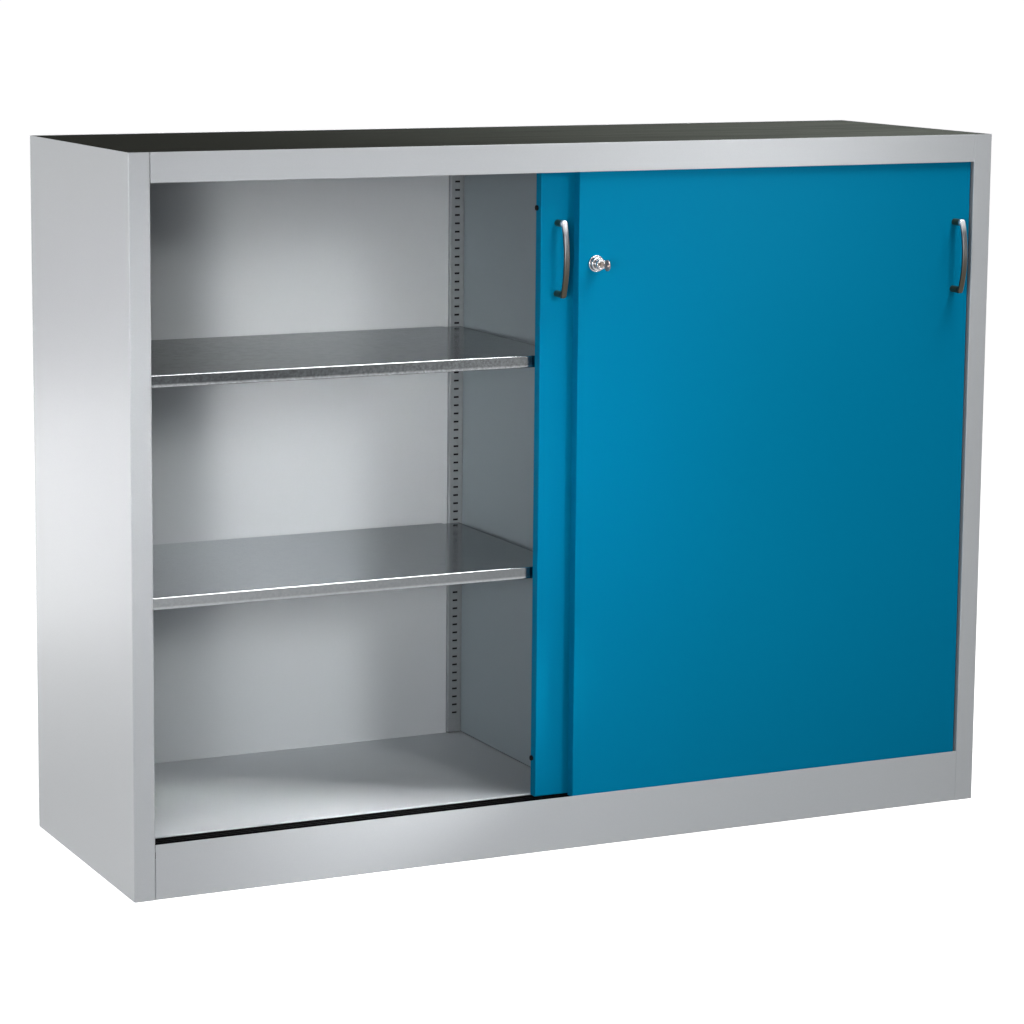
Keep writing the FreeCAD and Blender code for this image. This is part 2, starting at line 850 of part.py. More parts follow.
def hanger(x, web):
    """One hanger: an upright plate on a foot screwed to the door's top edge."""
    plate_face = hanger_plate(web)
    span = (x - hanger_width / 2, x + hanger_width / 2)
    upright = block(
        span, (plate_face, plate_face + hanger_sheet), (door_top, hanger_top)
    )
    foot = block(
        span, (plate_face - hanger_foot + hanger_sheet, plate_face), (door_top, door_top + hanger_sheet)
    )
    hole_start = (x, plate_face - cutter_end, roller_z)
    axle_hole = rod(axle_radius + running_fit, hole_start, hanger_sheet + 2 * cutter_end, Y_AXIS)
    holes = [hanger_screw_hole(*place) for place in hanger_screw_places(x, web)]
    return joined([upright, foot]).cut([axle_hole] + holes)


def hanger_screws(left, web):
    """The screws through the feet of a door's hangers."""
    screws = []
    for x in hanger_places(left):
        for place in hanger_screw_places(x, web):
            top = door_top + hanger_sheet
            shank_start = (*place, top - hanger_screw_length)
            shank = rod(hanger_screw_radius, shank_start, hanger_screw_length, Z_AXIS)
            head = rod(hanger_screw_head, (*place, top), hanger_screw_head_height, Z_AXIS)
            screws.append(joined([shank, head]))
    return screws


def roller_front(web):
    """Front face of the rollers on a rail."""
    return web + track_sheet + rail_play


def axle(x, web):
    """One riveted axle, with a head in the roller's recess and one behind the hanger."""
    roller_start = roller_front(web)
    plate_face = hanger_plate(web)
    head_start = roller_start + roller_recess - axle_head - rolling_gap
    shank_end = plate_face + hanger_sheet
    shank = rod(axle_radius, (x, head_start, roller_z), shank_end - head_start, Y_AXIS)
    head = rod(axle_head_radius, (x, head_start, roller_z), axle_head, Y_AXIS)
    collar_start = roller_start + roller_width + rolling_gap
    collar = rod(axle_head_radius, (x, collar_start, roller_z), plate_face - collar_start, Y_AXIS)
    rivet = rod(axle_head_radius, (x, shank_end, roller_z), axle_head, Y_AXIS)
    return joined([shank, head, collar, rivet])


def roller(x, web):
    """One plastic roller on its rail."""
    start = (x, roller_front(web), roller_z)
    wheel = rod(roller_radius, start, roller_width, Y_AXIS)
    recess = rod(roller_recess_radius, start, roller_recess, Y_AXIS)
    bore = rod(axle_radius + running_fit, start, roller_width, Y_AXIS)
    return wheel.cut([recess, bore])


def guide_shoes(left, face):
    """The two plastic shoes under a door that run in the bottom guide."""
    middle = door_middle(face)
    low = guide_floor + guide_base + shoe_play
    shoes = []
    for x in hanger_places(left):
        span = (x - shoe_length / 2, x + shoe_length / 2)
        blade = block(span, (middle - shoe_width / 2, middle + shoe_width / 2), (low, door_bottom))
        pad = block(
            span,
            (middle - shoe_pad_width / 2, middle + shoe_pad_width / 2),
            (door_bottom - shoe_pad_height, door_bottom),
        )
        shoes.append(joined([blade, pad]))
    return shoes


def buffers(edge, face, outward):
    """The two rubber buffers on a door's outer edge."""
    buffer_thickness = door_side_gap - buffer_gap
    y = face + door_thickness - buffer_back_inset
    start_x = edge if outward > 0 else edge - buffer_thickness
    pieces = []
    for z in (door_bottom + buffer_inset, door_top - buffer_inset):
        disc = rod(buffer_radius, (start_x, y, z), buffer_thickness, X_AXIS)
        tip = edge + outward * buffer_thickness
        pieces.append(rounded(
            disc, buffer_edge_radius, lambda e: abs(e.CenterOfMass.x - tip) < pick and e.Closed
        ))
    return pieces


# ---------------------------------------------------------------- lock
lock_x = front_door_left + lock_inset
lock_height = door_top - lock_drop
lock_rear = front_door_back - bolt_end_inset
lock_flange_front = front_door_face - lock_flange
collar_front = lock_flange_front - lock_collar
plunger_front = collar_front - plunger_stand
plunger_back = front_door_face + plunger_seat
core_end = plunger_back - core_floor - core_gap
keyway_back = core_end - keyway_end


def lock_rod(radius, start_y, end_y):
    """A round bar on the lock's axis."""
    return rod(radius, (lock_x, start_y, lock_height), end_y - start_y, Y_AXIS)


def lock_housing():
    """The fixed lock body: flange, grooved collar and barrel, bored for the plunger."""
    flange = lock_rod(lock_flange_radius, lock_flange_front, front_door_face)
    flange = rounded(
        flange,
        lock_edge_radius,
        lambda e: e.Closed and e.CenterOfMass.y < lock_flange_front + pick,
    )
    collar = lock_rod(lock_collar_radius, collar_front, front_door_face)
    collar = rounded(
        collar, lock_edge_radius, lambda e: e.Closed and e.CenterOfMass.y < collar_front + pick
    )
    barrel = lock_rod(lock_barrel_radius, front_door_face, lock_rear)
    bore = lock_rod(plunger_radius + running_fit, collar_front - cutter_end, lock_rear + cutter_end)
    mouth = lock_rod(lock_mouth_radius, collar_front - cutter_end, collar_front + lock_mouth_depth)
    cutters = [bore, mouth]
    for groove_back in (lock_flange_front, lock_flange_front - lock_collar / 2 + lock_groove / 2):
        ring = lock_rod(lock_collar_radius + cutter_end, groove_back - lock_groove, groove_back)
        core = lock_rod(lock_collar_radius - lock_groove_depth, groove_back - lock_groove, groove_back)
        cutters.append(ring.cut(core))
    return joined([flange, collar, barrel]).cut(cutters)


def lock_nut():
    """The ring nut that holds the lock against the door's skin."""
    start = front_door_face + door_sheet
    end = start + lock_nut_thickness
    hole = lock_rod(lock_barrel_radius + running_fit, start - cutter_end, end + cutter_end)
    return lock_rod(lock_nut_radius, start, end).cut(hole)


def lock_plunger():
    """The part that is pushed in to lock, with the bolt at its back."""
    body = lock_rod(plunger_radius, plunger_front, plunger_back)
    body = rounded(
        body, plunger_edge_radius, lambda e: e.Closed and e.CenterOfMass.y < plunger_front + pick
    )
    bolt = lock_rod(bolt_radius, plunger_back, lock_rear)
    seat = lock_rod(core_radius + running_fit, plunger_front - cutter_end, core_end + core_gap)
    return joined([body, bolt]).cut(seat)


def lock_core():
    """The turning core with its keyway."""
    core = lock_rod(core_radius, plunger_front, core_end)
    keyway = block(
        (lock_x - keyway_width / 2, lock_x + keyway_width / 2),
        (plunger_front - cutter_end, keyway_back),
        (lock_height - keyway_height / 2, lock_height + keyway_height / 2),
    )
    return core.cut(keyway)


def key():
    """The flat key: blade in the keyway, neck and round head."""
    half = keyway_width / 2 - key_play
    tall = keyway_height / 2 - key_play
    blade = block(
        (lock_x - half, lock_x + half),
        (plunger_front, keyway_back - key_end_play),
        (lock_height - tall, lock_height + tall),
    )
    head_y = plunger_front - key_neck - key_head_radius
    neck = block(
        (lock_x - half, lock_x + half),
        (head_y, plunger_front),
        (lock_height - key_neck_height / 2, lock_height + key_neck_height / 2),
    )
    head = rod(key_head_radius, (lock_x - half, head_y, lock_height), 2 * half, X_AXIS)
    hole_y = head_y - key_head_radius / 2
    hole_start = (lock_x - half - cutter_end, hole_y, lock_height)
    hole = rod(key_hole_radius, hole_start, 2 * half + 2 * cutter_end, X_AXIS)
    return joined([blade, neck, head]).cut(hole)


def strike_plate():
    """The angle on the rear door that the bolt stands behind when both doors are closed."""
    bolt_side = lock_x - bolt_radius - strike_play + door_travel
    lip_front = lock_rear + lock_travel - bolt_catch
    lip = block(
        (bolt_side - strike_sheet, bolt_side),
        (lip_front, rear_door_face),
        (lock_height - strike_height / 2, lock_height + strike_height / 2),
    )
    foot = block(
        (bolt_side - strike_foot, bolt_side),
        (rear_door_face - strike_sheet, rear_door_face),
        (lock_height - strike_height / 2, lock_height + strike_height / 2),
    )
    return joined([lip, foot])


# ---------------------------------------------------------------- build
os.makedirs("parts", exist_ok=True)

left_side = side_panel()
left_liner = side_liner()
save("side_panel_left", left_side)
save("side_panel_right", mirrored(left_side))
save("side_liner_left", left_liner)
save("side_liner_right", mirrored(left_liner))
save("top_panel", top_panel())
save("top_mat", top_mat())
save("back_panel", back_panel())
save("floor_panel", floor_panel())
save("plinth", plinth())
save("centre_runner", centre_runner())
save("partition", partition())

places = strip_places()
for name, place in zip(("far_left", "mid_left", "mid_right", "far_right"), places):
    save("slotted_strip_" + name, slotted_strip(place))

for (name, ends, rows), strips in zip(compartments(), (places[:2], places[2:])):
    for level, number in zip(("lower", "upper"), shelf_slots):
        save("shelf_" + level + "_" + name, shelf(ends, shelf_top(number)))
    save("shelf_clips_" + name, *clips_of(rows, strips))

save("top_track", top_track())
save("track_screws", *track_screws())
save("track_stops", *track_stops())
save("bottom_guide", bottom_guide())

doors = (
    ("front", front_door_left, front_door_face, front_web,
     front_door_right - handle_inset, door_top - front_handle_drop, front_door_right, 1),
    ("rear", rear_door_left, rear_door_face, rear_web,
     rear_door_left + handle_inset, door_top - rear_handle_drop, rear_door_left, -1),
)
for name, left, face, web, handle_x, handle_z, outer_edge, outward in doors:
    skin_cuts = [handle_screw_hole(handle_x, face, z) for z in foot_heights(handle_z)]
    for x in hanger_places(left):
        skin_cuts += [hanger_screw_hole(*place) for place in hanger_screw_places(x, web)]
    liner = door_liner(left, face)
    if name == "front":
        barrel_hole = lock_rod(
            lock_barrel_radius + barrel_play,
            front_door_face - cutter_end,
            front_door_back + cutter_end,
        )
        skin_cuts.append(barrel_hole)
        liner = liner.cut(barrel_hole)
    save(name + "_door_skin", door_skin(left, face).cut(skin_cuts))
    save(name + "_door_liner", liner)
    save(name + "_door_stiffeners", *door_stiffeners(left, face))
    save(name + "_door_handle", handle(handle_x, face, handle_z))
    save(name + "_handle_screws", *handle_screws(handle_x, face, handle_z))
    save(name + "_door_hangers", *[hanger(x, web) for x in hanger_places(left)])
    save(name + "_hanger_screws", *hanger_screws(left, web))
    save(name + "_roller_axles", *[axle(x, web) for x in hanger_places(left)])
    for side, x in zip(("left", "right"), hanger_places(left)):
        save(name + "_roller_" + side, roller(x, web))
    save(name + "_guide_shoes", *guide_shoes(left, face))
    save(name + "_door_buffers", *buffers(outer_edge, face, outward))

save("lock_housing", lock_housing())
save("lock_nut", lock_nut())
save("lock_plunger", lock_plunger())
save("lock_core", lock_core())
save("key", key())
save("strike_plate", strike_plate())
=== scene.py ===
# %% [markdown]
# # A sliding door cabinet
# A steel cabinet with a grey body, two blue doors that slide past each other and galvanised
# shelves inside. Its shapes come ready made from the CAD frame, in metres, with the floor at
# z = 0 and the front towards -y. What is left for Blender is the camera, the light, the finishes,
# and the one piece whose real surface is finer than its CAD solid: the ribbed mat on the top.

# %% Load the cabinet
import json
import math

import bpy
from mathutils import Matrix, Vector


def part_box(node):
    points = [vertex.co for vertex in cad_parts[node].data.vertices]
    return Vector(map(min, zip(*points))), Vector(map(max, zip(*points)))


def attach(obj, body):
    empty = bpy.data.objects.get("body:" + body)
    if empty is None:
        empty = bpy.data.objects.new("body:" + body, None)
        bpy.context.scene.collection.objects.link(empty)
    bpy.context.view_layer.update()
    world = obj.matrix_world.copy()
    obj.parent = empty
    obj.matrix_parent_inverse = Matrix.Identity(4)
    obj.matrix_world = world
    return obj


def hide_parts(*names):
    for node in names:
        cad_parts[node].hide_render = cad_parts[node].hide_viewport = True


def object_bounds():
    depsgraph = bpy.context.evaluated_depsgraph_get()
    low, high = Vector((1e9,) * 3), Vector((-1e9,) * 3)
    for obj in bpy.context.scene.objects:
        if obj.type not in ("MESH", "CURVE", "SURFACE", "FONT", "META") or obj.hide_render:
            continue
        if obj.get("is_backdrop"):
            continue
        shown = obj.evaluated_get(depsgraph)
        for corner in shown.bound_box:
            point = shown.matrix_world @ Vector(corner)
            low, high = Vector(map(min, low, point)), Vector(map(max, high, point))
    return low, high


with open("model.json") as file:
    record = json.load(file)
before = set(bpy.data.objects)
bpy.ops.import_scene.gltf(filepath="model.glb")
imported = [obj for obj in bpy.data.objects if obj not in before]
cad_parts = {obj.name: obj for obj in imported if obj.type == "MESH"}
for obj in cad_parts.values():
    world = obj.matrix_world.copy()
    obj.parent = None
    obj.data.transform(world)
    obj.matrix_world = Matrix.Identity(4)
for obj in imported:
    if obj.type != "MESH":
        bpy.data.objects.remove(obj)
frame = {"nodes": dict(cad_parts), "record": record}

cad_low, cad_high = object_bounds()
print("the cabinet reaches from", tuple(cad_low), "to", tuple(cad_high))

# %% [markdown]
# ## The camera
# A long lens, well back from the cabinet, keeps its upright edges nearly upright and its long front
# flat. The camera stands to the left of the front and a little above the top, which shows the mat
# as a thin dark band. Its axes are worked out from a turn, a tilt and a slight roll, and a small
# lens shift brings the cabinet near the middle of the square.

# %% Place the camera
camera_place = (-2.4389, -4.9479, 1.5083)
camera_angles = (-25.0188, 8.5814, 0.3501)
lens_length = 112.3
lens_shift = (0.06, -0.075)


def camera_axes(turn, tilt, roll):
    """The camera's own x, y and z axes as a matrix, for angles in degrees."""
    turn, tilt, roll = (math.radians(angle) for angle in (turn, tilt, roll))
    level = Vector((math.cos(turn), math.sin(turn), 0))
    forwards = Vector((-math.sin(turn), math.cos(turn), 0))
    ahead = math.cos(tilt) * forwards - math.sin(tilt) * Vector((0, 0, 1))
    upright = level.cross(ahead)
    across = math.cos(roll) * level + math.sin(roll) * upright
    above = math.cos(roll) * upright - math.sin(roll) * level
    return Matrix((across, above, -ahead)).transposed()


camera_data = bpy.data.cameras.new("camera")
camera_data.sensor_width = 36
camera_data.lens = lens_length
camera_data.shift_x, camera_data.shift_y = lens_shift
camera_data.clip_end = 300
camera = bpy.data.objects.new("camera", camera_data)
bpy.context.scene.collection.objects.link(camera)
camera.matrix_world = Matrix.Translation(camera_place) @ camera_axes(*camera_angles).to_4x4()
bpy.context.scene.camera = camera
bpy.context.scene.view_settings.view_transform = "Standard"
cabinet_middle = (Vector(cad_low) + Vector(cad_high)) / 2
print("camera", round((camera.location - cabinet_middle).length, 2), "m from the middle of the cabinet")

# %% [markdown]
# ## Helpers for node trees
# A finish is a small network of nodes. Clicked together by hand, each node is added, its sockets
# are set and its wires are drawn. Two helpers do that in one line: a value that is the output of
# another node is wired, and any other value is typed into the socket.

# %% Nodes and wires
def feed(tree, value, socket):
    """Wires another node's output into a socket, or sets the socket to a plain value."""
    if isinstance(value, bpy.types.NodeSocket):
        tree.links.new(value, socket)
    else:
        socket.default_value = value


def add(tree, kind, settings=None, **values):
    """Adds a node to a tree. settings are the node's own, values feed its input sockets by name."""
    node = tree.nodes.new(kind)
    for name, value in (settings or {}).items():
        setattr(node, name, value)
    for name, value in values.items():
        feed(tree, value, node.inputs[name.replace("_", " ")])
    return node


# %% [markdown]
# Sums on values, vectors and colours are nodes too. Their inputs share one name, so they are fed in
# order. Most textures swing about one half, and two of the helpers turn that swing into a little
# more or less gloss, or a little lighter or darker colour.

# %% Sums with nodes
def math_node(tree, operation, first, second=0.0):
    """A sum of one or two values."""
    node = add(tree, "ShaderNodeMath", {"operation": operation})
    feed(tree, first, node.inputs[0])
    feed(tree, second, node.inputs[1])
    return node.outputs[0]


def vector_node(tree, operation, first, second=(0, 0, 0)):
    """A sum of one or two vectors, as a node, because a sum may give a vector or a value."""
    node = add(tree, "ShaderNodeVectorMath", {"operation": operation})
    feed(tree, first, node.inputs[0])
    feed(tree, second, node.inputs[1])
    return node


def mixed(tree, factor, first, second):
    """A colour between two colours, by a factor from 0 to 1."""
    # A Mix node has sockets for every kind of data. These are its sockets for colours.
    first_colour, second_colour, mixed_colour = 6, 7, 2
    node = add(tree, "ShaderNodeMix", {"data_type": "RGBA"})
    feed(tree, factor, node.inputs[0])
    feed(tree, first, node.inputs[first_colour])
    feed(tree, second, node.inputs[second_colour])
    return node.outputs[mixed_colour]


def swing(tree, value, amount):
    """How far a value is from one half, times an amount."""
    return math_node(tree, "MULTIPLY", math_node(tree, "SUBTRACT", value, 0.5), amount)


def scaled(tree, colour, factor):
    """A colour times a factor."""
    return add(tree, "ShaderNodeVectorMath", {"operation": "SCALE"}, Vector=colour, Scale=factor).outputs[0]


def shaded(tree, colour, value, amount):
    """A colour that a value lightens and darkens as it swings about one half."""
    return scaled(tree, colour, math_node(tree, "ADD", swing(tree, value, amount), 1.0))


# %% [markdown]
# Every pattern is laid out on Object coordinates, in metres on the piece itself, so that it stays
# on the piece when a door slides. Stretching the coordinates draws a pattern out into streaks.

# %% Patterns with nodes
def place_on_piece(tree):
    """Where a point lies on its piece, in metres."""
    return add(tree, "ShaderNodeTexCoord").outputs["Object"]


def noise(tree, where, **values):
    """The value of a Noise texture."""
    return add(tree, "ShaderNodeTexNoise", Vector=where, **values).outputs["Fac"]


def stretched(tree, where, scales):
    """Coordinates with each axis times its own scale."""
    return vector_node(tree, "MULTIPLY", where, scales).outputs[0]


def streaks(along, coarse, fine):
    """The three scales for streaks along one axis: coarse along it and fine across it."""
    return tuple(coarse if axis == along else fine for axis in "xyz")


# %% [markdown]
# A pattern that several finishes share is a node group with named inputs and outputs. It is built
# once, and each finish places it with its own values.

# %% Node groups
def new_group(name, inputs, outputs):
    """An empty node group, its input node and its output node. Each socket is a name and a kind."""
    group = bpy.data.node_groups.new(name, "ShaderNodeTree")
    for label, kind, value in inputs:
        socket = group.interface.new_socket(label, in_out="INPUT", socket_type=f"NodeSocket{kind}")
        socket.default_value = value
    for label, kind in outputs:
        group.interface.new_socket(label, in_out="OUTPUT", socket_type=f"NodeSocket{kind}")
    return group, group.nodes.new("NodeGroupInput"), group.nodes.new("NodeGroupOutput")


def hand_out(group, outs, **results):
    """Wires a group's results to its output node, and tells how large the group is."""
    for label, result in results.items():
        feed(group, result, outs.inputs[label])
    print(group.name, "group has", len(group.nodes), "nodes")


skin_outputs = [("Colour", "Color"), ("Roughness", "Float"), ("Height", "Float")]

# %% [markdown]
# ## Powder coat
# The body and the doors are sprayed with powder that melts into a satin skin. Close up the skin
# has a very shallow orange peel of a few millimetres and a finer grain of flakes, and over the
# whole sheet the colour drifts by a percent or two. Textures at three scales give that. The group
# hands out a colour, a roughness and a height.

# %% The powder coat group
colour_drift = 0.05
peel_gloss = 0.16
powder, ins, outs = new_group(
    "powder coat",
    [("Colour", "Color", (0.5, 0.5, 0.5, 1)), ("Roughness", "Float", 0.4), ("Flake", "Float", 0.1)],
    skin_outputs)
where = place_on_piece(powder)
peel = noise(powder, where, Scale=320.0, Detail=2.0, Roughness=0.55)
drift = noise(powder, where, Scale=2.2, Detail=3.0, Roughness=0.6)
flake = add(powder, "ShaderNodeTexVoronoi", Vector=where, Scale=1400.0).outputs["Distance"]
glint = math_node(powder, "MULTIPLY", flake, ins.outputs["Flake"])
tinted = shaded(powder, ins.outputs["Colour"], drift, colour_drift)
tinted = scaled(powder, tinted, math_node(powder, "ADD", glint, 1.0))
rough = math_node(powder, "ADD", swing(powder, peel, peel_gloss), ins.outputs["Roughness"])
hand_out(powder, outs, Colour=tinted, Roughness=rough, Height=peel)

# %% [markdown]
# ## Rolled and galvanised sheet
# Zinc sheet shows where it froze, in faint patches called spangle, and the direction in which it
# was rolled, as fine streaks along its length. Both change how sharply the sheet mirrors more than
# they change its colour. Turned and polished metal has the same streaks, much finer, and no
# spangle, so one group serves both.

# %% The zinc sheet group
spangle_gloss = 0.9
streak_gloss = 0.06
streak_tone = 0.18
zinc, ins, outs = new_group(
    "zinc sheet",
    [("Colour", "Color", (0.6, 0.6, 0.6, 1)), ("Roughness", "Float", 0.25), ("Spangle", "Float", 0.1),
     ("Grain", "Vector", streaks("x", 4.0, 260.0))],
    skin_outputs)
where = place_on_piece(zinc)
patches = add(zinc, "ShaderNodeTexVoronoi", Vector=where, Scale=95.0).outputs["Color"]
patch = add(zinc, "ShaderNodeSeparateColor", Color=patches).outputs[0]
spangle = swing(zinc, patch, ins.outputs["Spangle"])
drawn_out = stretched(zinc, where, ins.outputs["Grain"])
streak = noise(zinc, drawn_out, Scale=1.0, Detail=3.0, Roughness=0.6)
tinted = scaled(zinc, ins.outputs["Colour"], math_node(zinc, "ADD", spangle, 1.0))
tinted = shaded(zinc, tinted, streak, streak_tone)
spangled = math_node(zinc, "MULTIPLY", spangle, spangle_gloss)
streaked = math_node(zinc, "MULTIPLY", streak, streak_gloss)
rough = math_node(zinc, "ADD", math_node(zinc, "ADD", spangled, ins.outputs["Roughness"]), streaked)
hand_out(zinc, outs, Colour=tinted, Roughness=rough, Height=streak)

# %% [markdown]
# ## Moulded rubber and plastic
# Rubber and moulded plastic are matt and nearly even, with a soft pitted skin, a little dust and
# a few paler rubbed places. The rubbed places can be drawn out along the piece.

# %% The moulded group
rub_gloss = 0.2
moulded, ins, outs = new_group(
    "moulded skin",
    [("Colour", "Color", (0.05, 0.05, 0.05, 1)), ("Roughness", "Float", 0.5), ("Scale", "Float", 500.0),
     ("Streak", "Vector", (30.0, 30.0, 30.0)), ("Contrast", "Float", 0.7)],
    skin_outputs)
where = place_on_piece(moulded)
pits = noise(moulded, where, Scale=ins.outputs["Scale"], Detail=2.0)
drawn_out = stretched(moulded, where, ins.outputs["Streak"])
rub = noise(moulded, drawn_out, Scale=1.0, Detail=4.0, Roughness=0.65)
tinted = shaded(moulded, ins.outputs["Colour"], rub, ins.outputs["Contrast"])
rough = math_node(moulded, "ADD", swing(moulded, rub, rub_gloss), ins.outputs["Roughness"])
hand_out(moulded, outs, Colour=tinted, Roughness=rough, Height=pits)

# %% [markdown]
# ## Marks
# Some places of a piece are painted to differ from the rest, most of them as painted light and shade:
# the highlight on the front fold of a shelf, the shade in the hollow behind a strip, the dark
# reflection on the foot of a handle. A mark is a soft-edged band across one direction, measured in
# metres on the piece itself, in a tone that may be blotchy. Where a mark lies only where two bands
# meet, the mask of the first goes into the second.

# %% The mark group
mark, ins, outs = new_group(
    "mark",
    [("Colour", "Color", (0.5, 0.5, 0.5, 1)), ("Tone", "Color", (0.1, 0.1, 0.1, 1)),
     ("Across", "Vector", (1.0, 0.0, 0.0)), ("Middle", "Float", 0.0), ("Half", "Float", 0.01),
     ("Soft", "Float", 0.001), ("Within", "Float", 1.0), ("Mottle", "Float", 0.0)],
    [("Colour", "Color"), ("Mask", "Float")])
where = place_on_piece(mark)
measure = vector_node(mark, "DOT_PRODUCT", where, ins.outputs["Across"]).outputs["Value"]
away = math_node(mark, "ABSOLUTE", math_node(mark, "SUBTRACT", measure, ins.outputs["Middle"]))
fade = add(mark, "ShaderNodeMapRange", {"interpolation_type": "SMOOTHSTEP"}, Value=away,
           From_Min=math_node(mark, "SUBTRACT", ins.outputs["Half"], ins.outputs["Soft"]),
           From_Max=math_node(mark, "ADD", ins.outputs["Half"], ins.outputs["Soft"]),
           To_Min=1.0, To_Max=0.0).outputs[0]
mask = math_node(mark, "MULTIPLY", fade, ins.outputs["Within"])
blotch = noise(mark, where, Scale=260.0, Detail=3.0, Roughness=0.65)
tone = shaded(mark, ins.outputs["Tone"], blotch, ins.outputs["Mottle"])
hand_out(mark, outs, Colour=mixed(mark, mask, ins.outputs["Colour"], tone), Mask=mask)

# %% [markdown]
# ## The finishes
# Each finish is one material. The numbers that are the same all over go straight on the shader,
# and what changes over the surface comes from one of the groups. The height goes through a Bump
# node whose distance is the real depth of the grain in metres. Colours are given as the 0 to 255
# values of a colour picker, and turned into the linear values that a shader wants.

# %% Make a finish
ALONG_X, ALONG_Y, ALONG_Z = (1, 0, 0), (0, 1, 0), (0, 0, 1)
finishes = {}


def linear(colour):
    """A colour of 0 to 255 values as linear values, with an alpha of 1."""
    channels = [channel / 255 for channel in colour]
    return [c / 12.92 if c <= 0.04045 else ((c + 0.055) / 1.055) ** 2.4 for c in channels] + [1.0]


def band(across, middle, half, soft):
    """A soft-edged band across a direction: its middle, half its width and its edges' softness."""
    return {"Across": across, "Middle": middle, "Half": half, "Soft": soft}


def finish(name, group, depth, colour, surface, marks=(), mottle=0.0, **given):
    """Makes a material of one shader and one group, and keeps it under its name.

    depth is the grain's depth in metres, surface holds the shader's own values and given the
    group's. Each mark is one or two bands and a tone, and mottle is how blotchy the marks are."""
    material = bpy.data.materials.new(name)
    material.use_nodes = True
    tree = material.node_tree
    shader = tree.nodes["Principled BSDF"]
    for label, value in surface.items():
        shader.inputs[label].default_value = value
    skin = add(tree, "ShaderNodeGroup", {"node_tree": group}, Colour=linear(colour), **given)
    colour_so_far = skin.outputs["Colour"]
    for *bands, tone in marks:
        within = 1.0
        for place in bands:
            layer = add(tree, "ShaderNodeGroup", {"node_tree": mark}, Colour=colour_so_far,
                        Tone=linear(tone), Within=within, Mottle=mottle, **place)
            within = layer.outputs["Mask"]
        colour_so_far = layer.outputs["Colour"]
    bump = add(tree, "ShaderNodeBump", Distance=depth, Height=skin.outputs["Height"])
    feed(tree, colour_so_far, shader.inputs["Base Color"])
    feed(tree, skin.outputs["Roughness"], shader.inputs["Roughness"])
    feed(tree, bump.outputs[0], shader.inputs["Normal"])
    finishes[name] = material


# %% [markdown]
# ## The paints
# The outside is satin grey with a trace of metal flake, and the doors are a clean matt blue. The
# inside is grey too, but it has hardly any shine, because nobody polishes it.

# %% Paint the outside and the inside
peel_depth = 0.00002
inside_shine = {"Specular IOR Level": 0.1, "IOR": 1.5}


def inside_paint(name, colour, marks=()):
    """The dull powder coat of the inside, in one colour."""
    finish(name, powder, peel_depth, colour, inside_shine, marks, Roughness=0.40, Flake=0.08)


inside_grey = (178, 182, 185)
finish("body_paint", powder, peel_depth, (168, 171, 174), {"Metallic": 0.15, "IOR": 1.5},
       Roughness=0.38, Flake=0.10)
finish("door_paint", powder, peel_depth, (0, 122, 162), {"Specular IOR Level": 0.02, "IOR": 1.5},
       Roughness=0.42, Flake=0.02)
inside_paint("interior_paint", inside_grey)
print("paints", list(finishes))

# %% [markdown]
# The hollow behind each slotted strip hardly gets any light, so the back is painted nearly black there
# as painted shade, and that is what the slots show from in front. The floor is painted a little paler
# than the back, as painted light. The partition is painted a little darker, as painted shade, and it
# has a dark line of painted shade where it stands on the floor.

# %% The back, the floor and the partition
# painted shade: the back is nearly black behind each strip
hollow_shade_tone = (14, 14, 15)
hollow_inset = 0.001
back_skin = band(ALONG_Y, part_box("back_panel")[0].y, half=0.0004, soft=0.0001)
hollows = []
for position in ("far_left", "mid_left", "mid_right", "far_right"):
    low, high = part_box("slotted_strip_" + position)
    half_width = (high.x - low.x) / 2 - hollow_inset
    hollows.append((back_skin, band(ALONG_X, (low.x + high.x) / 2, half_width, soft=0.0005), hollow_shade_tone))
inside_paint("back_paint", inside_grey, hollows)
# painted light: the floor is painted paler than the back
inside_paint("floor_paint", (186, 190, 193))
# painted shade: the partition is darker, with a dark line of shade along its foot
partition_foot_shade = band(ALONG_Z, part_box("partition")[0].z, half=0.002, soft=0.001)
inside_paint("partition_paint", (133, 143, 148), [(partition_foot_shade, (40, 41, 42))])
print(len(hollows), "hollows behind the strips")

# %% [markdown]
# ## The shelves
# The front fold of a shelf has a bright line painted along it, a painted highlight. Below that line
# the lip is painted darker as painted shade, in mottled zinc, and its lower fold is painted lighter as
# a painted highlight. Towards the left the upper shelf is painted darker and blotchy, and the lower
# one paler, as painted reflections. A dark line of painted shade runs along the right edge, where the
# shelf meets the wall beside it.

# %% The shelves
sheet_depth = 0.00001
bare_metal = {"Metallic": 1.0}
